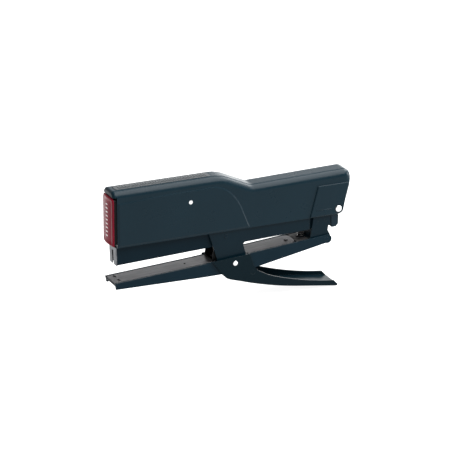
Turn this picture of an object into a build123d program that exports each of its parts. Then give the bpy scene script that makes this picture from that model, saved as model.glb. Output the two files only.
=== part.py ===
from build123d import *
import os
from math import cos, radians, sin

# Plier stapler. X runs along the length (nose at -X), Z is up, and the object is symmetric about Y = 0.
# The origin is under the middle of the object, level with the lowest point of the finger lever.

# Nested widths across Y (half widths)
BODY_HALF = 9.75
COVER_WALL = 1.3
COVER_IN = BODY_HALF - COVER_WALL
PANEL_OUT = BODY_HALF + 0.4
CHEEK_OUT = BODY_HALF + 0.9
FRAME_OUT = COVER_IN
FRAME_WALL = 1.1
FRAME_IN = FRAME_OUT - FRAME_WALL
BRACKET_OUT = 8.3
BRACKET_IN = 7.2
MAG_OUT = 6.15
MAG_WALL = 0.9
MAG_IN = MAG_OUT - MAG_WALL
ARM_IN = 8.6
LEVER_OUT = 11.2
LEVER_IN = 10.0

# Pivots and rivets in the side view (x, z)
REAR_PIN = (84.95, 62.5)
ARM_PIN = (75.5, 39.8)
LEVER_PIN = (0.55, 32.6)
PUSH_PIN = (15.0, 23.3)
FRONT_RIVET = (-34.45, 85.0)
GUIDE_STUD = (-5.75, 53.7)
REAR_PIN_R = 2.5
ARM_PIN_R = 1.6
LEVER_PIN_R = 1.5
PUSH_PIN_R = 2.4
FRONT_RIVET_R = 1.5
GUIDE_STUD_R = 1.3
MAGAZINE_RIVETS = ((69.5, 53.0), (75.5, 54.2))
MAGAZINE_RIVET_R = 1.2
RUNNING_GAP = 0.06

# Cover
COVER_FRONT = -92.2
HOOD_FRONT = -95.4
HOOD_LOW = 96.6
COVER_BOTTOM = 58.0
COVER_TOP = 100.85
CREST_END = -8.3
CREST_ROUND = 29.0
STEP_LOW = (15.4, 90.1)
STEP_ROUND = 7.5
REAR_TOP = (90.0, 91.75)
REAR_EDGE_TOP = (95.8, 87.5)
EAR_R = 4.0
TOP_ROUND = 5.2
PANEL_FLANK = 1.2
HOOD_ROUND = 2.2
WINDOW_FACE = -95.8
WINDOW_THICK = 1.2

# Magazine, drawn in its own side plane: u along the channel, v across it, from the rear pin
MAG_TILT = 2.03
MAG_FRONT = -176.7
MAG_REAR = -5.6
MAG_FLOOR = -13.15
MAG_TOP = 0.85
BLADE_SLOT = 2.0
NOSE_THICK = 0.75
ROD_V = -8.85
ROD_R = 1.5
LEG_HEIGHT = 6.0
SHEET = 1.1

# Arm top line, nose to tail
ARM_TOP = [(-94.5, 30.7), (-26.0, 34.6), (79.0, 43.0)]
STRIP_HALF = 7.8
STRIP_NOTCH_HALF = 7.2
STRIP_THICK = 1.1
NOTCH_X = (-16.8, 12.5)
STRIP_RIVETS = (-12.6, 46.5)

# Drawing planes. All heights below are taken from a datum a little under the finger lever's tip
DATUM = -1.775
SIDE = Plane(origin=(0, 0, DATUM), x_dir=(1, 0, 0), z_dir=(0, -1, 0))
FRONT = Plane(origin=(0, 0, DATUM), x_dir=(0, 1, 0), z_dir=(1, 0, 0))
LEVEL = Plane(origin=(0, 0, DATUM))
TILT = radians(MAG_TILT)
MAG_PLANE = Plane(
    origin=(REAR_PIN[0], 0, REAR_PIN[1] + DATUM),
    x_dir=(cos(TILT), 0, sin(TILT)),
    z_dir=(0, -1, 0),
)
MIRROR_SIDES = (1, -1)

os.makedirs("parts", exist_ok=True)


def plate(points, half_width, mode=Mode.ADD, plane=SIDE):
    """Solid with a straight-sided side outline, spread evenly about the middle plane."""
    with BuildSketch(plane) as outline:
        with BuildLine():
            Polyline(*points, close=True)
        make_face()
    extrude(outline.sketch, amount=half_width, both=True, mode=mode)


def cross_pin(centre, radius, half_length, mode=Mode.ADD, plane=SIDE):
    """Round bar or hole across the object."""
    with BuildSketch(plane) as outline:
        with Locations(centre):
            Circle(radius)
    extrude(outline.sketch, amount=half_length, both=True, mode=mode)


def side_studs(centre, radius, inner, outer, mode=Mode.ADD, plane=SIDE):
    """Two equal round studs, one on each side."""
    for side in MIRROR_SIDES:
        with BuildSketch(plane.offset(side * inner)) as outline:
            with Locations(centre):
                Circle(radius)
        extrude(outline.sketch, amount=side * (outer - inner), mode=mode)


def arm_top_at(x):
    """Height of the arm's top line."""
    low, high = (ARM_TOP[0], ARM_TOP[1]) if x < ARM_TOP[1][0] else (ARM_TOP[1], ARM_TOP[2])
    return low[1] + (high[1] - low[1]) * (x - low[0]) / (high[0] - low[0])


def arm_band(start, end, top_drop, bottom_drop):
    """Outline of a strip that follows the arm's top line."""
    bend = ARM_TOP[1][0]
    stops = [start, bend, end] if start < bend < end else [start, end]
    upper = [(x, arm_top_at(x) - top_drop) for x in stops]
    lower = [(x, arm_top_at(x) - bottom_drop) for x in reversed(stops)]
    return upper + lower


# ---------------------------------------------------------------- cover and what is fixed in it


def cover_profile(front_x, hood_x, low_z, inset):
    """Side outline of the shell: hood over the window, crest, slope, low roof and rounded heel."""
    corner_shift = 0.22 * inset
    with BuildSketch(SIDE) as outline:
        with BuildLine():
            front = Polyline(
                (REAR_PIN[0], low_z),
                (front_x, low_z),
                (front_x, HOOD_LOW),
                (hood_x, HOOD_LOW),
                (hood_x, COVER_TOP - inset),
            )
            roof = FilletPolyline(
                front @ 1,
                (CREST_END - corner_shift, COVER_TOP - inset),
                (STEP_LOW[0] - corner_shift, STEP_LOW[1] - inset),
                (REAR_TOP[0], REAR_TOP[1] - inset),
                radius=[CREST_ROUND - inset, STEP_ROUND + inset],
            )
            heel = TangentArc(roof @ 1, (REAR_EDGE_TOP[0] - inset, REAR_EDGE_TOP[1]), tangent=roof % 1)
            back = Line(heel @ 1, (REAR_PIN[0] + EAR_R - inset, REAR_PIN[1] - 0.3))
            Line(back @ 1, (REAR_PIN[0] + EAR_R - inset - 1.3, low_z + 1.3))
            Line((REAR_PIN[0] + EAR_R - inset - 1.3, low_z + 1.3), front @ 0)
        make_face()
    return outline.sketch


def panel_outline(distance, inset):
    """Outline of the raised side panel at a distance from the middle plane."""
    low = 58.4 + inset
    front_x = COVER_FRONT + 0.5 + inset
    with BuildSketch(SIDE.offset(distance)) as outline:
        with BuildLine():
            sill = Polyline((13.0 - inset, low), (front_x, low), (front_x, 92.2 - inset))
            rim = Spline(sill @ 1, (-62.9, 93.8 - inset), (-22.0, 94.5 - inset))
            bend = Spline(
                rim @ 1,
                (-6.8 - 0.6 * inset, 91.5 - 0.8 * inset),
                (1.4 - 0.85 * inset, 84.1 - 0.5 * inset),
                (6.8 - 0.95 * inset, 74.7 - 0.3 * inset),
            )
            Line(bend @ 1, sill @ 0)
        make_face()
    return outline.sketch


# Space inside the shell
with BuildPart() as cover_hollow:
    hollow_outline = cover_profile(COVER_FRONT - 10, HOOD_FRONT + 1.2, COVER_BOTTOM - 10, COVER_WALL)
    extrude(hollow_outline, amount=COVER_IN, both=True)
    hollow_top = cover_hollow.edges().filter_by(
        lambda e: abs(abs(e.center().Y) - COVER_IN) < 0.01
        and e.center().Z > 86.0 and e.center().X > COVER_FRONT
    )
    fillet(hollow_top, TOP_ROUND - COVER_WALL)

# Pressed steel shell: tall over the nose, a swept step, a low rear part, and ears round the rear pin
with BuildPart() as cover_shell:
    shell_outline = cover_profile(COVER_FRONT, HOOD_FRONT, COVER_BOTTOM, 0)
    extrude(shell_outline, amount=BODY_HALF, both=True)
    top_edges = cover_shell.edges().filter_by(
        lambda e: abs(abs(e.center().Y) - BODY_HALF) < 0.01
        and e.center().Z > 86.0 and e.center().X > COVER_FRONT
    )
    fillet(top_edges, TOP_ROUND)
    hood_face = cover_shell.faces().sort_by(Axis.X)[0]
    fillet(hood_face.edges().filter_by(lambda e: e.center().Z > HOOD_LOW + DATUM + 0.1), HOOD_ROUND)
    add(cover_hollow.part, mode=Mode.SUBTRACT)
    # Open lower rear, where the magazine's end comes out
    with BuildSketch(LEVEL.offset(COVER_BOTTOM - 1)):
        with Locations((92.0, 0)):
            Rectangle(16.0, 2 * COVER_IN)
    extrude(amount=16.0, mode=Mode.SUBTRACT)
    # Raised side panel ahead of the tabs, with a sloped flank
    for side in MIRROR_SIDES:
        foot = panel_outline(side * (BODY_HALF - 0.1), 0)
        face = panel_outline(side * PANEL_OUT, PANEL_FLANK)
        loft([foot, face])
    cross_pin(FRONT_RIVET, FRONT_RIVET_R, 12, Mode.SUBTRACT)
    cross_pin(REAR_PIN, REAR_PIN_R, 12, Mode.SUBTRACT)
cover_shell.part.label = "cover_shell"
export_step(cover_shell.part, "parts/cover_shell.step")

# Doubler plates round the rear pin
CHEEK_HOLE_GAP = 0.5
CHEEK = [(61.6, 58.4), (68.1, 82.4), (93.4, 82.4), (89.2, 62.4)]
with BuildPart() as hinge_cheeks:
    for side in MIRROR_SIDES:
        with BuildSketch(SIDE.offset(side * BODY_HALF)):
            with BuildLine():
                edge = Polyline((REAR_PIN[0], REAR_PIN[1] - 4.1), *CHEEK)
                RadiusArc(edge @ 1, edge @ 0, 4.2)
            make_face()
        extrude(amount=side * (CHEEK_OUT - BODY_HALF))
    outer = hinge_cheeks.faces().filter_by(lambda f: abs(abs(f.center().Y) - CHEEK_OUT) < 0.01)
    fillet(outer.edges(), 0.8)
    cross_pin(REAR_PIN, REAR_PIN_R + CHEEK_HOLE_GAP, 12, Mode.SUBTRACT)
hinge_cheeks.part.label = "hinge_cheeks"
export_step(hinge_cheeks.part, "parts/hinge_cheeks.step")

# Ribbed thumb grip on the flat crest over the nose
GRIP_X = (-91.0, -16.5)
GRIP_HALF = 4.4
RIB_PITCH = 3.0
RIB_WIDTH = 1.5
with BuildPart() as grip_plate:
    with BuildSketch(LEVEL.offset(COVER_TOP)):
        with Locations(((GRIP_X[0] + GRIP_X[1]) / 2, 0)):
            RectangleRounded(GRIP_X[1] - GRIP_X[0], 2 * GRIP_HALF, 1.2)
    extrude(amount=0.35)
    rib_count = int((GRIP_X[1] - GRIP_X[0] - 4) / RIB_PITCH)
    with BuildSketch(LEVEL.offset(COVER_TOP + 0.35)):
        with Locations(((GRIP_X[0] + GRIP_X[1]) / 2, 0)):
            with GridLocations(RIB_PITCH, 1, rib_count, 1):
                SlotOverall(2 * GRIP_HALF - 1.6, RIB_WIDTH, rotation=90)
    extrude(amount=0.3)
grip_plate.part.label = "grip_plate"
export_step(grip_plate.part, "parts/grip_plate.step")

# Arched front window, and the black holder that carries it on the front of the shell
WINDOW_HALF = 9.4
WINDOW_LOW = 59.2
WINDOW_HIGH = HOOD_LOW - 0.3
WINDOW_ARCH = 3.6
HOLDER_HALF = 9.2
HOLDER_OPEN_HALF = 7.2
HOLDER_PLUG = 1.1


def arch_plate(half_width, low, high, arch):
    """Upright plate outline with rounded top corners."""
    with Locations((0, (low + high) / 2)):
        shape = Rectangle(2 * half_width, high - low)
    fillet(shape.vertices().group_by(Axis.Z)[-1], arch)


with BuildPart() as front_window:
    with BuildSketch(FRONT.offset(WINDOW_FACE)):
        arch_plate(WINDOW_HALF, WINDOW_LOW, WINDOW_HIGH, WINDOW_ARCH)
    extrude(amount=WINDOW_THICK)
    front_rim = front_window.faces().sort_by(Axis.X)[0].edges()
    fillet(front_rim, 0.5)
front_window.part.label = "front_window"
export_step(front_window.part, "parts/front_window.step")

with BuildPart() as window_holder:
    with BuildSketch(FRONT.offset(WINDOW_FACE + WINDOW_THICK)):
        arch_plate(HOLDER_HALF, WINDOW_LOW + 0.2, WINDOW_HIGH - 0.2, WINDOW_ARCH)
    extrude(amount=COVER_FRONT - WINDOW_FACE - WINDOW_THICK)
    with BuildSketch(FRONT.offset(COVER_FRONT)):
        arch_plate(COVER_IN - 0.2, WINDOW_LOW + 2, WINDOW_HIGH - 2, WINDOW_ARCH)
    extrude(amount=HOLDER_PLUG)
    # Open below, so that the magazine's nose passes behind the window
    with BuildSketch(FRONT.offset(WINDOW_FACE + WINDOW_THICK)):
        arch_plate(HOLDER_OPEN_HALF, WINDOW_LOW - 2, WINDOW_HIGH - 4, 2.4)
    extrude(amount=10.0, mode=Mode.SUBTRACT)
window_holder.part.label = "window_holder"
export_step(window_holder.part, "parts/window_holder.step")

# Inner frame: inverted channel in the shell, with a band along the rear and two tabs down to the lever
FRAME = [
    (-40.0, 66.0), (-40.0, 92.0), (-13.0, 92.0), (11.0, 80.0), (62.3, 80.0), (62.1, 48.8),
    (7.5, 47.0), (10.2, 38.4), (9.2, 31.0), (5.2, 28.4), (-4.0, 28.4), (-9.3, 31.0),
    (-12.7, 36.2), (-19.2, 57.2), (-19.2, 66.0),
]
FRAME_CORE = [
    (-60.0, 10.0), (-60.0, 90.9), (-13.3, 90.9), (10.7, 78.9), (90.0, 78.9), (90.0, 10.0),
]
with BuildPart() as inner_frame:
    plate(FRAME, FRAME_OUT)
    lower_corners = inner_frame.edges().filter_by(Axis.Y).filter_by(
        lambda e: e.center().Z < 50.0 and e.center().X < 50.0
    )
    fillet(lower_corners, 2.0)
    plate(FRAME_CORE, FRAME_IN, Mode.SUBTRACT)
    cross_pin(FRONT_RIVET, FRONT_RIVET_R, 12, Mode.SUBTRACT)
    cross_pin(LEVER_PIN, LEVER_PIN_R, 12, Mode.SUBTRACT)
    cross_pin(GUIDE_STUD, GUIDE_STUD_R, 12, Mode.SUBTRACT)
inner_frame.part.label = "inner_frame"
export_step(inner_frame.part, "parts/inner_frame.step")

# Carrier under the crest that holds the driver blade
CARRIER_OUT = FRAME_IN
CARRIER = [(-90.3, 82.0), (-90.3, 98.0), (-49.0, 98.0), (-41.0, 90.7), (-28.0, 90.7), (-28.0, 80.0)]
CARRIER_CORE = [(-89.1, 60.0), (-89.1, 96.8), (-49.5, 96.8), (-41.5, 89.5), (0.0, 89.5), (0.0, 60.0)]
with BuildPart() as driver_carrier:
    plate(CARRIER, CARRIER_OUT)
    plate(CARRIER_CORE, CARRIER_OUT - 1.2, Mode.SUBTRACT)
    cross_pin(FRONT_RIVET, FRONT_RIVET_R, 12, Mode.SUBTRACT)
driver_carrier.part.label = "driver_carrier"
export_step(driver_carrier.part, "parts/driver_carrier.step")

# Driver blade: a thin plate that pushes the front staple out
BLADE_BACK = -90.3
BLADE_THICK = 0.7
BLADE_HALF = 4.9
BLADE_LOW = 50.2
with BuildPart() as driver_blade:
    with BuildSketch(FRONT.offset(BLADE_BACK - BLADE_THICK)):
        with Locations((0, (BLADE_LOW + 96.0) / 2)):
            Rectangle(2 * BLADE_HALF, 96.0 - BLADE_LOW)
    extrude(amount=BLADE_THICK)
driver_blade.part.label = "driver_blade"
export_step(driver_blade.part, "parts/driver_blade.step")

# Front rivet: one bar through shell, frame and carrier, flush with the side panels
with BuildPart() as front_rivet:
    cross_pin(FRONT_RIVET, FRONT_RIVET_R, PANEL_OUT - 0.02)
front_rivet.part.label = "front_rivet"
export_step(front_rivet.part, "parts/front_rivet.step")

# Rear pin: the hinge of the magazine, riveted over the cheeks
with BuildPart() as rear_pin:
    cross_pin(REAR_PIN, REAR_PIN_R, CHEEK_OUT + 0.35)
    chamfer(rear_pin.edges().filter_by(GeomType.CIRCLE), 0.3)
rear_pin.part.label = "rear_pin"
export_step(rear_pin.part, "parts/rear_pin.step")

# Short studs in the frame that stop the magazine's drop
with BuildPart() as guide_studs:
    side_studs(GUIDE_STUD, GUIDE_STUD_R, MAG_IN + 0.15, FRAME_OUT + 0.3)
guide_studs.part.label = "guide_studs"
export_step(guide_studs.part, "parts/guide_studs.step")

# Lever rivet with small domed heads, and the sleeve that keeps the tabs apart
LEVER_HEAD_R = 1.9
LEVER_HEAD_HIGH = 0.6
with BuildPart() as lever_rivet:
    cross_pin(LEVER_PIN, LEVER_PIN_R, LEVER_OUT + 0.1)
    side_studs(LEVER_PIN, LEVER_HEAD_R, LEVER_OUT + RUNNING_GAP, LEVER_OUT + LEVER_HEAD_HIGH)
    heads = lever_rivet.faces().filter_by(lambda f: abs(f.center().Y) > LEVER_OUT + 0.5)
    fillet(heads.edges(), 0.45)
lever_rivet.part.label = "lever_rivet"
export_step(lever_rivet.part, "parts/lever_rivet.step")

with BuildPart() as pivot_sleeve:
    cross_pin(LEVER_PIN, 2.7, FRAME_IN)
    cross_pin(LEVER_PIN, LEVER_PIN_R, FRAME_IN, Mode.SUBTRACT)
pivot_sleeve.part.label = "pivot_sleeve"
export_step(pivot_sleeve.part, "parts/pivot_sleeve.step")

# ---------------------------------------------------------------- magazine

# Channel, open on top; the front of its floor stops short to let the staple out
with BuildPart() as magazine_channel:
    with BuildSketch(MAG_PLANE):
        with Locations(((MAG_FRONT + MAG_REAR) / 2, (MAG_FLOOR + MAG_TOP) / 2)):
            Rectangle(MAG_REAR - MAG_FRONT, MAG_TOP - MAG_FLOOR)
    extrude(amount=MAG_OUT, both=True)
    floor_edges = magazine_channel.edges().filter_by(
        lambda e: e.length > 100 and e.center().Z < 52.0
    )
    fillet(floor_edges, 0.8)
    plate(
        [
            (MAG_FRONT - 1, MAG_FLOOR + MAG_WALL), (MAG_REAR + 1, MAG_FLOOR + MAG_WALL),
            (MAG_REAR + 1, MAG_TOP + 1), (MAG_FRONT - 1, MAG_TOP + 1),
        ],
        MAG_IN, Mode.SUBTRACT, MAG_PLANE,
    )
    plate(
        [
            (MAG_FRONT - 1, MAG_FLOOR - 1), (MAG_FRONT + BLADE_SLOT, MAG_FLOOR - 1),
            (MAG_FRONT + BLADE_SLOT, MAG_FLOOR + 2), (MAG_FRONT - 1, MAG_FLOOR + 2),
        ],
        MAG_IN, Mode.SUBTRACT, MAG_PLANE,
    )
    # Slots for the frame's studs: the magazine rises past them as the driver strokes
    plate(
        [(-7.6, 48.3), (-3.5, 48.3), (-3.5, 55.3), (-7.6, 55.3)],
        MAG_OUT + 1, Mode.SUBTRACT,
    )
    for rivet_at in MAGAZINE_RIVETS:
        cross_pin(rivet_at, MAGAZINE_RIVET_R, MAG_OUT + 1, Mode.SUBTRACT)
magazine_channel.part.label = "magazine_channel"
export_step(magazine_channel.part, "parts/magazine_channel.step")

# Nose plate: two bright steel legs with the staple slot between them
NOSE_SLOT_HALF = 1.35
with BuildPart() as nose_plate:
    plate(
        [
            (MAG_FRONT - NOSE_THICK, MAG_FLOOR), (MAG_FRONT, MAG_FLOOR),
            (MAG_FRONT, MAG_TOP), (MAG_FRONT - NOSE_THICK, MAG_TOP),
        ],
        MAG_OUT, plane=MAG_PLANE,
    )
    plate(
        [
            (MAG_FRONT - 2, MAG_FLOOR - 1), (MAG_FRONT + 1, MAG_FLOOR - 1),
            (MAG_FRONT + 1, MAG_TOP - 3), (MAG_FRONT - 2, MAG_TOP - 3),
        ],
        NOSE_SLOT_HALF, Mode.SUBTRACT, MAG_PLANE,
    )
nose_plate.part.label = "nose_plate"
export_step(nose_plate.part, "parts/nose_plate.step")

# Strap over the channel that carries the return spring
STRAP_U = (-165.0, -104.0)
STRAP_THICK = 0.8
with BuildPart() as top_strap:
    plate(
        [
            (STRAP_U[0], MAG_TOP), (STRAP_U[1], MAG_TOP),
            (STRAP_U[1], MAG_TOP + STRAP_THICK), (STRAP_U[0], MAG_TOP + STRAP_THICK),
        ],
        MAG_OUT, plane=MAG_PLANE,
    )
top_strap.part.label = "top_strap"
export_step(top_strap.part, "parts/top_strap.step")

# Rear bracket: two plates that hang the arm from the magazine, joined over the channel
BRACKET = [
    (62.8, 41.4), (65.3, 57.0), (66.4, 66.9), (84.95, 66.9), (88.6, 64.9), (89.2, 61.4),
    (86.6, 58.4), (79.3, 57.8), (79.3, 49.8), (77.6, 49.6), (77.1, 46.2), (79.0, 42.4),
    (79.2, 39.8), (78.2, 37.1), (75.5, 36.1), (66.0, 37.4),
]
BRACKET_WALL = [(63.6, 36.6), (63.6, 48.3), (64.8, 48.3), (64.8, 36.6)]
with BuildPart() as rear_bracket:
    plate(BRACKET, BRACKET_OUT)
    fillet(
        rear_bracket.edges().filter_by(Axis.Y).filter_by(
            lambda e: e.center().Z > 60.0 or e.center().Z < 44.0
        ),
        0.9,
    )
    plate([(55.0, 30.0), (55.0, 65.8), (95.0, 65.8), (95.0, 30.0)], BRACKET_IN, Mode.SUBTRACT)
    plate([(80.0, 55.0), (80.0, 70.0), (95.0, 70.0), (95.0, 55.0)], BRACKET_IN, Mode.SUBTRACT)
    plate(BRACKET_WALL, BRACKET_IN)
    cross_pin(REAR_PIN, REAR_PIN_R + RUNNING_GAP, 12, Mode.SUBTRACT)
    cross_pin(ARM_PIN, ARM_PIN_R, 12, Mode.SUBTRACT)
    for rivet_at in MAGAZINE_RIVETS:
        cross_pin(rivet_at, MAGAZINE_RIVET_R, 12, Mode.SUBTRACT)
rear_bracket.part.label = "rear_bracket"
export_step(rear_bracket.part, "parts/rear_bracket.step")

# Shouldered rivets between bracket and channel
with BuildPart() as magazine_rivets:
    for rivet_at in MAGAZINE_RIVETS:
        side_studs(rivet_at, MAGAZINE_RIVET_R, MAG_IN, BRACKET_OUT)
        side_studs(rivet_at, 2.0, MAG_OUT, BRACKET_IN)
magazine_rivets.part.label = "magazine_rivets"
export_step(magazine_rivets.part, "parts/magazine_rivets.step")

# Arm hinge pin, held in the bracket
with BuildPart() as arm_pin:
    cross_pin(ARM_PIN, ARM_PIN_R, BODY_HALF)
arm_pin.part.label = "arm_pin"
export_step(arm_pin.part, "parts/arm_pin.step")

# ---------------------------------------------------------------- loading rod and pusher

ROD_U = (-173.4, -4.2)


def rod_section(u):
    """Plane across the rod, centred on its axis, at a distance along the magazine."""
    centre = MAG_PLANE.from_local_coords((u, ROD_V, 0))
    return Plane(origin=centre, x_dir=(0, 1, 0), z_dir=MAG_PLANE.x_dir)


with BuildPart() as pusher_rod:
    with BuildSketch(rod_section(ROD_U[0])):
        Circle(ROD_R)
    extrude(amount=ROD_U[1] - ROD_U[0])
pusher_rod.part.label = "pusher_rod"
export_step(pusher_rod.part, "parts/pusher_rod.step")

# Catch at the rear end of the rod, pulled out to load staples
CATCH_FRONT = -5.2
CATCH = [
    (CATCH_FRONT, -4.9), (CATCH_FRONT, -14.6), (-1.6, -14.6), (0.3, -12.6), (0.7, -5.9), (0.0, -4.9),
]
with BuildPart() as loading_catch:
    plate(CATCH, 8.2, plane=MAG_PLANE)
    fillet(loading_catch.edges().filter_by(Axis.Y), 0.35)
    cross_pin((2.9, -8.6), 3.0, 4.6, Mode.SUBTRACT, MAG_PLANE)
    with BuildSketch(rod_section(CATCH_FRONT)):
        Circle(ROD_R)
    extrude(amount=ROD_U[1] - CATCH_FRONT, mode=Mode.SUBTRACT)
loading_catch.part.label = "loading_catch"
export_step(loading_catch.part, "parts/loading_catch.step")

# Pusher block that rides on the rod behind the staples
PUSHER_U = (-172.2, -154.0)
with BuildPart() as staple_pusher:
    plate(
        [
            (PUSHER_U[0], MAG_FLOOR + MAG_WALL + 0.15), (PUSHER_U[1], MAG_FLOOR + MAG_WALL + 0.15),
            (PUSHER_U[1], MAG_FLOOR + MAG_WALL + LEG_HEIGHT + 0.4),
            (PUSHER_U[0], MAG_FLOOR + MAG_WALL + LEG_HEIGHT + 0.4),
        ],
        MAG_IN - 0.15, plane=MAG_PLANE,
    )
    with BuildSketch(rod_section(PUSHER_U[0])):
        Circle(ROD_R + RUNNING_GAP)
    extrude(amount=PUSHER_U[1] - PUSHER_U[0], mode=Mode.SUBTRACT)
staple_pusher.part.label = "staple_pusher"
export_step(staple_pusher.part, "parts/staple_pusher.step")

# Long spring on the rod, between pusher and catch
PUSHER_SPRING_U = (-153.2, -6.6)
PUSHER_WIRE = 0.3
PUSHER_COIL_R = 2.3
PUSHER_TURNS = 34
with BuildPart() as pusher_spring:
    spring_start = MAG_PLANE.from_local_coords((PUSHER_SPRING_U[0], ROD_V, 0))
    spring_length = PUSHER_SPRING_U[1] - PUSHER_SPRING_U[0]
    with BuildLine():
        coil = Helix(
            pitch=spring_length / PUSHER_TURNS, height=spring_length, radius=PUSHER_COIL_R,
            center=spring_start, direction=MAG_PLANE.x_dir,
        )
    with BuildSketch(Plane(origin=coil @ 0, z_dir=coil % 0)):
        Circle(PUSHER_WIRE)
    sweep(path=coil)
pusher_spring.part.label = "pusher_spring"
export_step(pusher_spring.part, "parts/pusher_spring.step")

# Return spring between the strap and the driver carrier
RETURN_X = -62.0
RETURN_WIRE = 0.5
with BuildPart() as return_spring:
    with BuildLine(Plane(origin=(RETURN_X, 0, DATUM + 60.0))):
        coil = Helix(pitch=4.5, height=36.0, radius=4.2)
    with BuildSketch(Plane(origin=coil @ 0, z_dir=coil % 0)):
        Circle(RETURN_WIRE)
    sweep(path=coil)
return_spring.part.label = "return_spring"
export_step(return_spring.part, "parts/return_spring.step")

# ---------------------------------------------------------------- anvil arm

ARM_LOWER = [
    (-93.6, 26.0), (-23.2, 24.8), (-6.0, 24.9), (6.0, 25.9), (17.0, 26.1), (53.7, 32.6), (75.0, 36.5),
]
with BuildPart() as arm_channel:
    with BuildSketch(SIDE):
        with BuildLine():
            upper = Polyline(*ARM_LOWER[::-1], *ARM_TOP[:2], (76.4, arm_top_at(76.4)))
            ThreePointArc(upper @ 1, (79.6, 40.4), upper @ 0)
        make_face()
    extrude(amount=BODY_HALF, both=True)
    # Hollow below the web, and the seat for the anvil strip above it
    web_top = STRIP_THICK
    web_low = STRIP_THICK + SHEET
    hollow = arm_band(-96.0, 61.6, web_low, 30.0)
    plate(hollow, ARM_IN, Mode.SUBTRACT)
    seat = arm_band(-96.0, 85.0, -4.0, web_top)
    plate(seat, ARM_IN, Mode.SUBTRACT)
    plate([(61.6, 20.0), (61.6, 60.0), (90.0, 60.0), (90.0, 20.0)], ARM_IN, Mode.SUBTRACT)
    # Window for the frame's tabs and open slots that pass the lever rivet
    plate(
        [(NOTCH_X[0], 20.0), (NOTCH_X[0], 40.0), (NOTCH_X[1], 40.0), (NOTCH_X[1], 20.0)],
        ARM_IN, Mode.SUBTRACT,
    )
    plate([(-2.2, 20.0), (-2.2, 35.1), (4.6, 35.1), (4.6, 20.0)], BODY_HALF + 1, Mode.SUBTRACT)
    cross_pin(ARM_PIN, ARM_PIN_R + RUNNING_GAP, 12, Mode.SUBTRACT)
    for hole_x in STRIP_RIVETS:
        with BuildSketch(LEVEL.offset(20.0)):
            with Locations((hole_x, 0)):
                Circle(1.5)
        extrude(amount=30.0, mode=Mode.SUBTRACT)
arm_channel.part.label = "arm_channel"
export_step(arm_channel.part, "parts/arm_channel.step")

# Anvil strip: bare steel on the web, with two clinch pockets and notches for the tabs
STRIP_X = (-93.9, 51.4)
POCKET_X = -89.4
POCKET_Y = 4.0
with BuildPart() as anvil_strip:
    plate(arm_band(STRIP_X[0], STRIP_X[1], 0.0, STRIP_THICK), STRIP_HALF)
    tail_corners = anvil_strip.edges().filter_by(Axis.Z, tolerance=6).sort_by(Axis.X)[-2:]
    fillet(tail_corners, 4.0)
    for side in MIRROR_SIDES:
        with BuildSketch(LEVEL.offset(25.0)):
            with Locations(((NOTCH_X[0] + NOTCH_X[1]) / 2, side * (STRIP_NOTCH_HALF + 1.5))):
                Rectangle(NOTCH_X[1] - NOTCH_X[0], 3.0)
        extrude(amount=20.0, mode=Mode.SUBTRACT)
        with BuildSketch(LEVEL.offset(arm_top_at(POCKET_X) - 0.55)):
            with Locations((POCKET_X, side * POCKET_Y)):
                SlotOverall(4.4, 1.9, rotation=90)
        extrude(amount=2.0, mode=Mode.SUBTRACT)
    for hole_x, hole_r in ((-35.5, 1.0), (STRIP_RIVETS[0], 1.3), (STRIP_RIVETS[1], 1.3)):
        with BuildSketch(LEVEL.offset(20.0)):
            with Locations((hole_x, 0)):
                Circle(hole_r)
        extrude(amount=30.0, mode=Mode.SUBTRACT)
anvil_strip.part.label = "anvil_strip"
export_step(anvil_strip.part, "parts/anvil_strip.step")

# Rivets that hold the strip and the throat stop to the web
STOP_THICK = 0.7
with BuildPart() as anvil_rivets:
    for rivet_x, rise in zip(STRIP_RIVETS, (STOP_THICK + 0.55, 0.4)):
        top = arm_top_at(rivet_x)
        with BuildSketch(LEVEL.offset(top - 3.4)):
            with Locations((rivet_x, 0)):
                Circle(1.25)
        extrude(amount=3.4 + rise - 0.2)
        with BuildSketch(LEVEL.offset(top + rise - 0.2)):
            with Locations((rivet_x, 0)):
                Circle(1.6)
        extrude(amount=0.35)
anvil_rivets.part.label = "anvil_rivets"
export_step(anvil_rivets.part, "parts/anvil_rivets.step")

# Throat stop: a folded sheet with two wings that the paper's edge meets
STOP_X = (-16.4, -9.6)
STOP_HALF = 7.15
STOP_HIGH = 45.3
with BuildPart() as throat_stop:
    stop_low = arm_top_at(STOP_X[0]) + 0.02
    stop_low_rear = arm_top_at(STOP_X[1]) + 0.02
    plate(
        [
            (STOP_X[0], stop_low), (STOP_X[0] + 1.5, STOP_HIGH),
            (STOP_X[1], STOP_HIGH), (STOP_X[1], stop_low_rear),
        ],
        STOP_HALF,
    )
    stop_corners = throat_stop.edges().filter_by(Axis.Y).group_by(Axis.Z)[-1]
    fillet(stop_corners, 1.2)
    plate(
        [
            (STOP_X[0] - 1, stop_low + STOP_THICK - 0.05), (STOP_X[0] - 1, STOP_HIGH + 1),
            (STOP_X[1] + 1, STOP_HIGH + 1), (STOP_X[1] + 1, stop_low_rear + STOP_THICK + 0.05),
        ],
        STOP_HALF - STOP_THICK, Mode.SUBTRACT,
    )
    with BuildSketch(LEVEL.offset(20.0)):
        with Locations((STRIP_RIVETS[0], 0)):
            Circle(1.3)
    extrude(amount=18.0, mode=Mode.SUBTRACT)
throat_stop.part.label = "throat_stop"
export_step(throat_stop.part, "parts/throat_stop.step")

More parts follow.
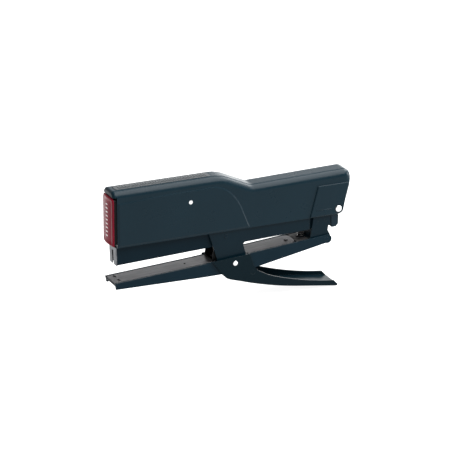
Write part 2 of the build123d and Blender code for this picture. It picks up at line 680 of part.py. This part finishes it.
# Black rubber pad behind the strip that keeps the opening spring in place
OPENING_X = 58.6
OPENING_WIRE = 0.4
SEAT_X = (51.9, 61.2)
SEAT_THICK = 0.9
with BuildPart() as spring_seat:
    plate(arm_band(SEAT_X[0], SEAT_X[1], STRIP_THICK - SEAT_THICK, STRIP_THICK), STRIP_HALF)
    with BuildSketch(LEVEL.offset(20.0)):
        with Locations((OPENING_X, 0)):
            Circle(3.2)
    extrude(amount=30.0, mode=Mode.SUBTRACT)
spring_seat.part.label = "spring_seat"
export_step(spring_seat.part, "parts/spring_seat.step")

# Opening spring between the arm's web and the magazine floor
with BuildPart() as opening_spring:
    opening_low = arm_top_at(OPENING_X + 3) - STRIP_THICK + OPENING_WIRE + 0.15
    with BuildLine(Plane(origin=(OPENING_X, 0, DATUM + opening_low))):
        coil = Helix(pitch=1.6, height=6.4, radius=2.4)
    with BuildSketch(Plane(origin=coil @ 0, z_dir=coil % 0)):
        Circle(OPENING_WIRE)
    sweep(path=coil)
opening_spring.part.label = "opening_spring"
export_step(opening_spring.part, "parts/opening_spring.step")

# ---------------------------------------------------------------- finger lever

# Channel open on top: deep cheeks round the pivot, then a long shallow handle with a curled tip
LEVER_SHEET = 1.2


def lever_outline(inset):
    """Side outline; the inset raises the belly line and opens the other edges."""
    spread = inset * 4
    with BuildSketch(SIDE) as outline:
        with BuildLine():
            belly = ThreePointArc((4.4, 17.9 + inset), (28.0, 11.1 + inset), (50.0, 6.8 + inset))
            keel = Line(belly @ 1, (81.5, 2.1 + inset))
            chin = Spline(
                (-6.9 - spread, 22.1 + inset), (-2.6, 20.0 + inset), belly @ 0,
                tangents=[(0.8, -0.6), belly % 0],
            )
            Polyline(
                chin @ 0, (-10.3 - spread, 26.0), (-17.4 - spread, 35.9 + spread),
                (12.6, 38.0 + spread), (16.2, 27.0 + spread),
            )
            tip = Line(keel @ 1, keel @ 1 + (2.2 + spread) * (keel % 1))
            Polyline(
                tip @ 1, (84.6 + spread, 2.9 + inset), (81.4 + spread, 6.3 + spread),
                (75.0, 7.1 + spread),
            )
            rim = Spline((75.0, 7.1 + spread), (45.5, 13.3 + spread), (33.0, 17.1 + spread))
            Spline(rim @ 1, (22.3, 22.1 + spread), (16.2, 27.0 + spread), tangents=[rim % 1, (-0.6, 0.8)])
        make_face()
    return outline.sketch


with BuildPart() as finger_lever:
    extrude(lever_outline(0), amount=LEVER_OUT, both=True)
    extrude(lever_outline(LEVER_SHEET), amount=LEVER_IN, both=True, mode=Mode.SUBTRACT)
    cross_pin(LEVER_PIN, LEVER_PIN_R + RUNNING_GAP, 15, Mode.SUBTRACT)
    cross_pin(PUSH_PIN, PUSH_PIN_R - 0.6, 15, Mode.SUBTRACT)
finger_lever.part.label = "finger_lever"
export_step(finger_lever.part, "parts/finger_lever.step")

# Push pin across the lever that lifts the arm
with BuildPart() as push_pin:
    cross_pin(PUSH_PIN, PUSH_PIN_R, LEVER_IN)
    cross_pin(PUSH_PIN, PUSH_PIN_R - 0.6, LEVER_OUT)
push_pin.part.label = "push_pin"
export_step(push_pin.part, "parts/push_pin.step")
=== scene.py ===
import bpy, bmesh, math
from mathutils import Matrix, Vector


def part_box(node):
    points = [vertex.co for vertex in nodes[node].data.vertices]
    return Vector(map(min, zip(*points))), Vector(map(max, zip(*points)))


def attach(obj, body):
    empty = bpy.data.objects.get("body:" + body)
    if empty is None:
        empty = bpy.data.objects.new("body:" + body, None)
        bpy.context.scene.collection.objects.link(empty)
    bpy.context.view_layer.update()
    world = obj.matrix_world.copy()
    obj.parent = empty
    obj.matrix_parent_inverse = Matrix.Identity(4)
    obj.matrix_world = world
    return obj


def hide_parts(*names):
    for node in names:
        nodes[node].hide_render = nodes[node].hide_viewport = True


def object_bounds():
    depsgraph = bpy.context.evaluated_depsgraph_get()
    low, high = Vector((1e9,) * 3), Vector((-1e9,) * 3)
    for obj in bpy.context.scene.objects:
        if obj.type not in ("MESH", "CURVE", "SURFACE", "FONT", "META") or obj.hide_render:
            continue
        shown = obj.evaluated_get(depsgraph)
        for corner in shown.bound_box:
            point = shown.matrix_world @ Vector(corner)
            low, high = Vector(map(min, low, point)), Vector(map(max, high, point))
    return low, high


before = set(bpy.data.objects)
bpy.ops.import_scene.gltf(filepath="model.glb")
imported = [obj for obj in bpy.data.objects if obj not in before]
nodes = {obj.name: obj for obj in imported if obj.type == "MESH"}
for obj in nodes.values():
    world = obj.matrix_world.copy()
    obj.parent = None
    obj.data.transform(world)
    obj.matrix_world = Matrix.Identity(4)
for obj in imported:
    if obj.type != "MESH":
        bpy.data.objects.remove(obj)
cad_lo, cad_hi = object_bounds()
MM = 0.001


# ---------------------------------------------------------------- node helpers

def new_material(name):
    mat = bpy.data.materials.new(name)
    mat.use_nodes = True
    tree = mat.node_tree
    for n in list(tree.nodes):
        tree.nodes.remove(n)
    out = tree.nodes.new("ShaderNodeOutputMaterial")
    bsdf = tree.nodes.new("ShaderNodeBsdfPrincipled")
    tree.links.new(bsdf.outputs["BSDF"], out.inputs["Surface"])
    return mat, tree, bsdf


def coords(tree, scale=(1, 1, 1)):
    tex = tree.nodes.new("ShaderNodeTexCoord")
    mapping = tree.nodes.new("ShaderNodeMapping")
    mapping.inputs["Scale"].default_value = scale
    tree.links.new(tex.outputs["Object"], mapping.inputs["Vector"])
    return mapping.outputs["Vector"]


def noise(tree, vector, scale, detail=3.0, rough=0.5):
    n = tree.nodes.new("ShaderNodeTexNoise")
    n.inputs["Scale"].default_value = scale
    n.inputs["Detail"].default_value = detail
    n.inputs["Roughness"].default_value = rough
    tree.links.new(vector, n.inputs["Vector"])
    return n.outputs["Fac"]


def map_range(tree, value, lo, hi, to_lo=0.0, to_hi=1.0):
    n = tree.nodes.new("ShaderNodeMapRange")
    n.inputs["From Min"].default_value = lo
    n.inputs["From Max"].default_value = hi
    n.inputs["To Min"].default_value = to_lo
    n.inputs["To Max"].default_value = to_hi
    tree.links.new(value, n.inputs["Value"])
    return n.outputs["Result"]


def math_node(tree, op, a, b):
    n = tree.nodes.new("ShaderNodeMath")
    n.operation = op
    for i, v in enumerate((a, b)):
        if isinstance(v, (int, float)):
            n.inputs[i].default_value = v
        else:
            tree.links.new(v, n.inputs[i])
    return n.outputs["Value"]


def mix_colour(tree, factor, a, b):
    n = tree.nodes.new("ShaderNodeMix")
    n.data_type = "RGBA"
    tree.links.new(factor, n.inputs["Factor"])
    for socket, v in (("A", a), ("B", b)):
        target = [s for s in n.inputs if s.name == socket and s.type == "RGBA"][0]
        if isinstance(v, tuple):
            target.default_value = (*v, 1.0)
        else:
            tree.links.new(v, target)
    return [s for s in n.outputs if s.type == "RGBA"][0]


CREASE_START, CREASE_FULL = 0.985, 0.82


def edge_mask(tree, radius, vector, noise_scale):
    """White along convex and concave creases, broken up by noise. Returns (mask, rounded normal)."""
    bevel = tree.nodes.new("ShaderNodeBevel")
    bevel.samples = 4
    bevel.inputs["Radius"].default_value = radius
    geo = tree.nodes.new("ShaderNodeNewGeometry")
    dot = tree.nodes.new("ShaderNodeVectorMath")
    dot.operation = "DOT_PRODUCT"
    tree.links.new(bevel.outputs["Normal"], dot.inputs[0])
    tree.links.new(geo.outputs["Normal"], dot.inputs[1])
    crease = map_range(tree, dot.outputs["Value"], CREASE_START, CREASE_FULL)
    broken = map_range(tree, noise(tree, vector, noise_scale, 5.0, 0.65), 0.46, 0.62)
    return math_node(tree, "MULTIPLY", crease, broken), bevel.outputs["Normal"]


def bump(tree, height, strength, distance, normal):
    n = tree.nodes.new("ShaderNodeBump")
    n.inputs["Strength"].default_value = strength
    n.inputs["Distance"].default_value = distance
    tree.links.new(height, n.inputs["Height"])
    tree.links.new(normal, n.inputs["Normal"])
    return n.outputs["Normal"]


# ---------------------------------------------------------------- materials

ENAMEL_EDGE = 0.35 * MM
ENAMEL_WEAR = (0.20, 0.21, 0.22)
WEAR_AMOUNT = 0.13
BARE_STEEL = (0.72, 0.73, 0.74)


def enamel(name, base, shade, rough, specular=0.11):
    """Stoved enamel: clouded colour, slight orange peel, rubbed edges and uneven gloss from handling."""
    mat, tree, bsdf = new_material(name)
    v = coords(tree)
    cloud = map_range(tree, noise(tree, v, 28.0, 4.0), 0.3, 0.7)
    colour = mix_colour(tree, cloud, base, shade)
    worn, rounded = edge_mask(tree, ENAMEL_EDGE, v, 420.0)
    worn = math_node(tree, "MULTIPLY", worn, WEAR_AMOUNT)
    colour = mix_colour(tree, worn, colour, ENAMEL_WEAR)
    tree.links.new(colour, bsdf.inputs["Base Color"])
    rub = map_range(tree, noise(tree, v, 70.0, 4.0, 0.6), 0.35, 0.7, -0.03, 0.05)
    tree.links.new(math_node(tree, "ADD", rub, rough), bsdf.inputs["Roughness"])
    tree.links.new(math_node(tree, "MULTIPLY", worn, 0.6), bsdf.inputs["Metallic"])
    peel = noise(tree, v, 1500.0, 2.0)
    tree.links.new(bump(tree, peel, 0.06, 0.06 * MM, rounded), bsdf.inputs["Normal"])
    bsdf.inputs["Specular IOR Level"].default_value = specular
    return mat


def steel(name, base, dark, rough, grain, grain_strength, edge=0.3 * MM, rubbed=0.6):
    """Bare or plated steel: drawn grain, faint stains, brighter rubbed edges."""
    mat, tree, bsdf = new_material(name)
    v = coords(tree)
    lines = noise(tree, coords(tree, grain), 900.0, 4.0, 0.6)
    stain = map_range(tree, noise(tree, v, 60.0, 5.0, 0.6), 0.35, 0.7)
    colour = mix_colour(tree, stain, base, dark)
    streak = map_range(tree, lines, 0.3, 0.7, 0.0, 0.25)
    colour = mix_colour(tree, streak, colour, tuple(c * 0.8 for c in base))
    worn, rounded = edge_mask(tree, edge, v, 300.0)
    colour = mix_colour(tree, math_node(tree, "MULTIPLY", worn, rubbed), colour, BARE_STEEL)
    tree.links.new(colour, bsdf.inputs["Base Color"])
    bsdf.inputs["Metallic"].default_value = 1.0
    spread = map_range(tree, lines, 0.3, 0.7, rough - 0.07, rough + 0.10)
    tree.links.new(spread, bsdf.inputs["Roughness"])
    tree.links.new(bump(tree, lines, grain_strength, 0.04 * MM, rounded), bsdf.inputs["Normal"])
    return mat


def red_plastic(name, base, shade, scuffed):
    """Glossy red moulding: upright flow pattern, scuffed edges and fine handling marks."""
    mat, tree, bsdf = new_material(name)
    v = coords(tree)
    upright = coords(tree, (1.0, 1.0, 0.25))
    flow = map_range(tree, noise(tree, upright, 120.0, 3.0), 0.3, 0.7)
    colour = mix_colour(tree, flow, base, shade)
    worn, rounded = edge_mask(tree, 0.5 * MM, v, 260.0)
    colour = mix_colour(tree, math_node(tree, "MULTIPLY", worn, 0.4), colour, scuffed)
    tree.links.new(colour, bsdf.inputs["Base Color"])
    marks = map_range(tree, noise(tree, v, 240.0, 5.0, 0.7), 0.4, 0.75, 0.10, 0.24)
    tree.links.new(marks, bsdf.inputs["Roughness"])
    ripple = noise(tree, v, 500.0, 2.0)
    tree.links.new(bump(tree, ripple, 0.05, 0.05 * MM, rounded), bsdf.inputs["Normal"])
    bsdf.inputs["Specular IOR Level"].default_value = 0.05
    return mat


SCUFFED_GREY = (0.16, 0.17, 0.18)


def moulded(name, base, shade, rough, grain_scale=2600.0, grain_strength=0.25):
    """Fine-grained moulded plastic, rubber or print."""
    mat, tree, bsdf = new_material(name)
    v = coords(tree)
    grain = noise(tree, v, grain_scale, 2.0)
    cloud = map_range(tree, noise(tree, v, 70.0, 4.0), 0.3, 0.7)
    colour = mix_colour(tree, cloud, base, shade)
    worn, rounded = edge_mask(tree, 0.3 * MM, v, 380.0)
    colour = mix_colour(tree, math_node(tree, "MULTIPLY", worn, 0.35), colour, SCUFFED_GREY)
    tree.links.new(colour, bsdf.inputs["Base Color"])
    gloss = map_range(tree, grain, 0.3, 0.7, rough - 0.05, rough + 0.08)
    tree.links.new(gloss, bsdf.inputs["Roughness"])
    tree.links.new(bump(tree, grain, grain_strength, 0.05 * MM, rounded), bsdf.inputs["Normal"])
    return mat


# Enamels: colour, its shade, roughness, specular level
# The frame, magazine and lever enamels are darker, lower-specular copies of the cover's one blue enamel:
# painted shade for parts that sit recessed or lower down, not a different paint.
ENAMELS = {
    "cover": ("cover_enamel", (0.0011, 0.0090, 0.0145), (0.0009, 0.0078, 0.0128), 0.30, 0.105),
    "frame": ("frame_enamel_painted_shade", (0.0012, 0.0068, 0.0110), (0.0009, 0.0056, 0.0092), 0.33, 0.07),
    "magazine": ("magazine_enamel_painted_shade", (0.0013, 0.0069, 0.0114), (0.0010, 0.0057, 0.0096), 0.34, 0.05),
    "arm": ("arm_enamel", (0.0017, 0.0088, 0.0145), (0.0012, 0.0074, 0.0124), 0.32, 0.06),
    "lever": ("lever_enamel_painted_shade", (0.0010, 0.0056, 0.0084), (0.0008, 0.0046, 0.0070), 0.30, 0.05),
    "stop": ("stop_black", (0.0012, 0.0016, 0.0020), (0.0008, 0.0011, 0.0014), 0.42, 0.08),
    "catch": ("catch_grey", (0.0017, 0.0088, 0.0145), (0.0012, 0.0074, 0.0124), 0.38, 0.11),
}
# Steels: colour, its shade, roughness, stretch and strength of the grain, then edge radius and rubbing
STEELS = {
    "strip": ("strip_steel", (0.050, 0.051, 0.055), (0.045, 0.046, 0.050), 0.42,
              (0.03, 1.0, 1.0), 0.03, 0.2 * MM, 0.12),
    "nose": ("nose_steel", (0.100, 0.106, 0.115), (0.075, 0.080, 0.087), 0.36, (1.0, 1.0, 0.08), 0.08),
    "zinc": ("zinc_steel", (0.10, 0.10, 0.10), (0.07, 0.07, 0.07), 0.40, (0.2, 1.0, 1.0), 0.08),
    "wire": ("spring_wire", (0.055, 0.055, 0.058), (0.040, 0.040, 0.042), 0.34, (1.0, 1.0, 1.0), 0.05),
    "pin": ("bright_pin", (0.74, 0.75, 0.76), (0.62, 0.63, 0.64), 0.20, (1.0, 1.0, 1.0), 0.06),
}
# Moulded: colour, its shade, roughness, then scale and strength of the grain
MOULDED = {
    "grip": ("grip_black", (0.012, 0.017, 0.020), (0.008, 0.012, 0.015), 0.46),
    # The spring seat's near-black colour is painted shadow: it darkens the arm's web behind the anvil
    # strip, which lies in shade.
    "rubber": ("seat_rubber", (0.0045, 0.0045, 0.0050), (0.0030, 0.0030, 0.0034), 0.75),
    "mark": ("mark_white", (0.72, 0.68, 0.67), (0.62, 0.57, 0.56), 0.45, 1800.0, 0.1),
}
MATERIALS = {key: enamel(*values) for key, values in ENAMELS.items()}
MATERIALS.update({key: steel(*values) for key, values in STEELS.items()})
MATERIALS.update({key: moulded(*values) for key, values in MOULDED.items()})
MATERIALS["red"] = red_plastic("window_red", (0.15, 0.004, 0.014), (0.10, 0.003, 0.010), (0.40, 0.05, 0.07))

MATERIAL_NODES = {
    "cover": ("cover_shell", "hinge_cheeks"),
    "grip": ("grip_plate",),
    "red": ("front_window",),
    "stop": ("window_holder", "throat_stop"),
    "frame": ("inner_frame", "guide_studs", "rear_bracket", "magazine_rivets"),
    "zinc": ("driver_carrier", "driver_blade", "pivot_sleeve", "top_strap", "pusher_rod", "staple_pusher"),
    "pin": ("front_rivet", "rear_pin", "lever_rivet"),
    "wire": ("return_spring", "opening_spring", "pusher_spring"),
    "magazine": ("magazine_channel",),
    "nose": ("nose_plate",),
    "arm": ("arm_channel", "arm_pin"),
    "strip": ("anvil_strip", "anvil_rivets"),
    # Near-black seat: painted shadow over the arm's web behind the anvil strip.
    "rubber": ("spring_seat",),
    "catch": ("loading_catch",),
    "lever": ("finger_lever", "push_pin"),
}
for material_name, node_names in MATERIAL_NODES.items():
    for node_name in node_names:
        for slot in nodes[node_name].material_slots:
            slot.material = MATERIALS[material_name]


# ---------------------------------------------------------------- mesh helpers

def add_mesh(name, bm, material, body, smooth=True):
    """Makes the piece from its bmesh, gives it its material and rides it on its body."""
    bmesh.ops.recalc_face_normals(bm, faces=bm.faces)
    mesh = bpy.data.meshes.new(name)
    bm.normal_update()
    bm.to_mesh(mesh)
    bm.free()
    obj = bpy.data.objects.new(name, mesh)
    bpy.context.scene.collection.objects.link(obj)
    mesh.materials.append(MATERIALS[material])
    for p in mesh.polygons:
        p.use_smooth = smooth
    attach(obj, body)
    return obj


def loft_rings(bm, rings):
    """Closed skin through rings with equal counts."""
    loops = [[bm.verts.new(p) for p in ring] for ring in rings]
    count = len(loops[0])
    for a, b in zip(loops, loops[1:]):
        for i in range(count):
            j = (i + 1) % count
            bm.faces.new((a[i], a[j], b[j], b[i]))
    bm.faces.new(list(reversed(loops[0])))
    bm.faces.new(loops[-1])


# ---------------------------------------------------------------- front window

lens_lo, lens_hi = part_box("front_window")
lens_half = lens_hi.y
ARCH = 3.6 * MM
SET_BACK = 0.35 * MM
BOW = 1.3 * MM
RIM_ROUND = 0.8 * MM
RIM_STOPS = (0.0, 0.12 * MM, 0.36 * MM, RIM_ROUND)
RIM_WIDTH = 1.5 * MM
DISH = 0.3 * MM
DISH_SLOPE = 0.4 * MM
INNER_ACROSS, INNER_UP = 10, 14


def arch_top(y):
    """Height of the lens's upper edge."""
    reach = abs(y) - (lens_half - ARCH)
    if reach <= 0:
        return lens_hi.z
    return lens_hi.z - ARCH + math.sqrt(max(ARCH ** 2 - reach ** 2, 0.0))


def lens_front(y, z):
    """Front of the lens: bowed about an upright axis, a rounded rim, and a shallow dish inside it."""
    inside = max(min(lens_half - abs(y), z - lens_lo.z, arch_top(y) - z), 0.0)
    x = lens_lo.x + SET_BACK - BOW * (1 - (y / lens_half) ** 2)
    if inside < RIM_ROUND:
        x += RIM_ROUND * (1 - math.sqrt(1 - (1 - inside / RIM_ROUND) ** 2))
    return x + DISH * min(max((inside - RIM_WIDTH) / DISH_SLOPE, 0.0), 1.0)


def spread(start, end, inner_count):
    """Stops from start to end, closer together over both rims."""
    rim = [*RIM_STOPS, RIM_WIDTH, RIM_WIDTH + DISH_SLOPE]
    left, right = start + rim[-1], end - rim[-1]
    middle = [left + (right - left) * i / inner_count for i in range(1, inner_count)]
    return [start + r for r in rim] + middle + [end - r for r in reversed(rim)]


bm = bmesh.new()
columns = [
    [bm.verts.new((lens_front(y, z), y, z)) for z in spread(lens_lo.z, arch_top(y), INNER_UP)]
    for y in spread(-lens_half, lens_half, INNER_ACROSS)
]
for left, right in zip(columns, columns[1:]):
    for j in range(len(left) - 1):
        bm.faces.new((left[j], right[j], right[j + 1], left[j + 1]))
border = [c[0] for c in columns] + columns[-1][1:]
border += [c[-1] for c in reversed(columns[:-1])] + list(reversed(columns[0][1:-1]))
back = [bm.verts.new((lens_hi.x, v.co.y, v.co.z)) for v in border]
for i in range(len(border)):
    j = (i + 1) % len(border)
    bm.faces.new((border[i], back[i], back[j], border[j]))
bm.faces.new(back)
window = add_mesh("front_window_lens", bm, "red", "upper")
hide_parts("front_window")

# A plain ladder of equal raised bars down the lens: a generic pattern with no lettering
BARS = 9
BAR_MARGIN = 6.5 * MM
BAR_HALF_WIDTH, BAR_HALF_HEIGHT = 1.5 * MM, 0.55 * MM
BAR_SINK, BAR_PROUD = 0.02 * MM, 0.20 * MM
BAR_TOP_WIDTH, BAR_TOP_HEIGHT = 0.9, 0.7
BAR_CORNERS = (
    (-BAR_HALF_WIDTH, -BAR_HALF_HEIGHT), (BAR_HALF_WIDTH, -BAR_HALF_HEIGHT),
    (BAR_HALF_WIDTH, BAR_HALF_HEIGHT), (-BAR_HALF_WIDTH, BAR_HALF_HEIGHT),
)
bar_pitch = (lens_hi.z - lens_lo.z - 2 * BAR_MARGIN) / (BARS - 1)
bm = bmesh.new()
for i in range(BARS):
    z = lens_hi.z - BAR_MARGIN - i * bar_pitch
    foot = [(lens_front(y, z) + BAR_SINK, y, z + dz) for y, dz in BAR_CORNERS]
    top = [
        (lens_front(y, z) - BAR_PROUD, BAR_TOP_WIDTH * y, z + BAR_TOP_HEIGHT * dz)
        for y, dz in BAR_CORNERS
    ]
    loft_rings(bm, [foot, top])
marks = add_mesh("front_window_bars", bm, "mark", "upper", smooth=False)


# ---------------------------------------------------------------- ribbed grip

lo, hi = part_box("grip_plate")
grip_half = hi.y
BASE_THICK = 0.30 * MM
BASE_EDGE = 0.08 * MM
BASE_BEVEL = 0.1 * MM
CORNER_R = 1.2 * MM
CORNER_STEPS = 5
RIB_PITCH = 2.0 * MM
RIB_MARGIN = 4 * MM
RIB_INNER, RIB_OUTER = 0.35 * MM, 0.9 * MM
RIB_SLANT = 1.0 * MM
RIB_SINK = 0.02 * MM
RIB_TAPER = 0.7
RIB_PROFILE = ((-0.50, 0.0), (-0.30, 0.28), (0.30, 0.28), (0.50, 0.0))


def rounded_rect(x0, x1, y_half, z):
    """Ring of points round a rectangle with rounded corners."""
    x_in, y_in = x1 - CORNER_R, y_half - CORNER_R
    x_out = x0 + CORNER_R
    centres = ((x_in, y_in, 0), (x_out, y_in, 90), (x_out, -y_in, 180), (x_in, -y_in, 270))
    ring = []
    for cx, cy, start in centres:
        for i in range(CORNER_STEPS + 1):
            a = math.radians(start + 90.0 * i / CORNER_STEPS)
            ring.append((cx + CORNER_R * math.cos(a), cy + CORNER_R * math.sin(a), z))
    return ring


def rib_ring(x, y, z, scale):
    """Section across a rib."""
    return [(x + u * MM * scale, y, z + w * MM * scale) for u, w in RIB_PROFILE]


base_top = lo.z + BASE_THICK
bm = bmesh.new()
loft_rings(bm, [
    rounded_rect(lo.x, hi.x, grip_half, lo.z),
    rounded_rect(lo.x, hi.x, grip_half, base_top - BASE_EDGE),
    rounded_rect(lo.x + BASE_BEVEL, hi.x - BASE_BEVEL, grip_half - BASE_BEVEL, base_top),
])
rib_count = int((hi.x - lo.x - RIB_MARGIN) / RIB_PITCH)
start_x = (lo.x + hi.x) / 2 - RIB_PITCH * (rib_count - 1) / 2
for i in range(rib_count):
    x = start_x + i * RIB_PITCH
    for side in (-1, 1):
        inner = rib_ring(x, side * RIB_INNER, base_top - RIB_SINK, 1.0)
        outer = rib_ring(x + RIB_SLANT, side * (grip_half - RIB_OUTER), base_top - RIB_SINK, RIB_TAPER)
        loft_rings(bm, [inner, outer])
grip = add_mesh("grip_ribs", bm, "grip", "upper", smooth=False)
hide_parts("grip_plate")

# Plain stamped bead on each rear cheek
BEAD_LOW = 5.0 * MM
BEAD_FROM, BEAD_TO = 5.5 * MM, 17.0 * MM
BEAD_SINK = 0.02 * MM
BEAD_SECTION = ((0.42, 0.0), (0.34, 0.09), (0.18, 0.15), (0.02, 0.17))
BEAD_END_STEPS = 6
lo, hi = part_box("hinge_cheeks")


def bead_ring(side, radius, rise):
    """Ring of points round the bead, at one height of its section."""
    y = side * (hi.y - BEAD_SINK) + side * rise * MM
    ring = []
    for cx, start in ((lo.x + BEAD_TO, -90), (lo.x + BEAD_FROM, 90)):
        for i in range(BEAD_END_STEPS + 1):
            a = math.radians(start + 180.0 * i / BEAD_END_STEPS)
            x, z = cx + radius * MM * math.cos(a), lo.z + BEAD_LOW + radius * MM * math.sin(a)
            ring.append((x, y, z))
    return ring


for side, label in ((-1, "near"), (1, "far")):
    bm = bmesh.new()
    loft_rings(bm, [bead_ring(side, radius, rise) for radius, rise in BEAD_SECTION])
    bead = add_mesh("cheek_bead_" + label, bm, "cover", "upper")


# ---------------------------------------------------------------- studio

FLOOR_HALF = 6.0
FLOOR_GAP = 0.5 * MM
FLOOR_GREY = 0.25
FLOOR_GLOW = 0.92
WORLD_STRENGTH = 0.70
WHITE = (1.0, 1.0, 1.0, 1.0)
# Softboxes: name, place, the two sides, watts
SOFTBOXES = (
    ("rear_softbox", (0.65, 1.5, 0.75), 1.8, 0.9, 3.6),
    ("rear_low_strip", (0.47, 0.80, 0.12), 0.7, 0.30, 1.5),
    ("overhead_softbox", (0.50, -0.20, 0.92), 1.6, 0.9, 44.0),
    ("slope_softbox", (1.15, 0.40, 0.92), 0.7, 0.6, 14.0),
    ("right_strip", (1.30, -0.30, 0.28), 0.5, 0.5, 16.0),
)


def add_floor(name):
    """Pale floor just under the object, with a little light of its own so that it reads as white."""
    bm = bmesh.new()
    corners = ((-1, -1), (1, -1), (1, 1), (-1, 1))
    bm.faces.new([bm.verts.new((FLOOR_HALF * x, FLOOR_HALF * y, 0)) for x, y in corners])
    mesh = bpy.data.meshes.new(name)
    bm.to_mesh(mesh)
    bm.free()
    floor = bpy.data.objects.new(name, mesh)
    floor.location = (0, 0, cad_lo.z - FLOOR_GAP)
    bpy.context.scene.collection.objects.link(floor)
    paper, _, bsdf = new_material(name + "_paper")
    bsdf.inputs["Base Color"].default_value = (FLOOR_GREY, FLOOR_GREY, FLOOR_GREY, 1.0)
    bsdf.inputs["Roughness"].default_value = 0.9
    bsdf.inputs["Specular IOR Level"].default_value = 0.0
    bsdf.inputs["Emission Color"].default_value = WHITE
    bsdf.inputs["Emission Strength"].default_value = FLOOR_GLOW
    mesh.materials.append(paper)


def softbox(name, location, size_x, size_y, power, target):
    """Rectangular area light, turned to face the target."""
    data = bpy.data.lights.new(name, "AREA")
    data.shape = "RECTANGLE"
    data.size = size_x
    data.size_y = size_y
    data.energy = power
    light = bpy.data.objects.new(name, data)
    light.location = location
    direction = target - Vector(location)
    light.rotation_euler = direction.to_track_quat("-Z", "Y").to_euler()
    bpy.context.scene.collection.objects.link(light)


add_floor("studio_floor")
for box in SOFTBOXES:
    softbox(*box, target=(cad_lo + cad_hi) / 2)

bpy.context.scene.view_settings.view_transform = "Standard"
world = bpy.data.worlds.new("studio")
bpy.context.scene.world = world
world.use_nodes = True
background = world.node_tree.nodes["Background"]
background.inputs["Color"].default_value = WHITE
background.inputs["Strength"].default_value = WORLD_STRENGTH


# ---------------------------------------------------------------- camera

AZIMUTH, ELEVATION = math.radians(24.2), math.radians(20.4)
DISTANCE = 2.647
AIM = Vector((-0.00075, 0.0, 0.05522))
FOCAL_LENGTH = 284.8
SENSOR_WIDTH = 36.0
level = math.cos(ELEVATION)
look = Vector((math.sin(AZIMUTH) * level, math.cos(AZIMUTH) * level, -math.sin(ELEVATION)))
camera_data = bpy.data.cameras.new("camera")
camera_data.lens = FOCAL_LENGTH
camera_data.sensor_width = SENSOR_WIDTH
camera_data.clip_start = 0.1
camera_data.clip_end = 50.0
camera = bpy.data.objects.new("camera", camera_data)
camera.location = AIM - look * DISTANCE
camera.rotation_euler = look.to_track_quat("-Z", "Y").to_euler()
bpy.context.scene.collection.objects.link(camera)
bpy.context.scene.camera = camera
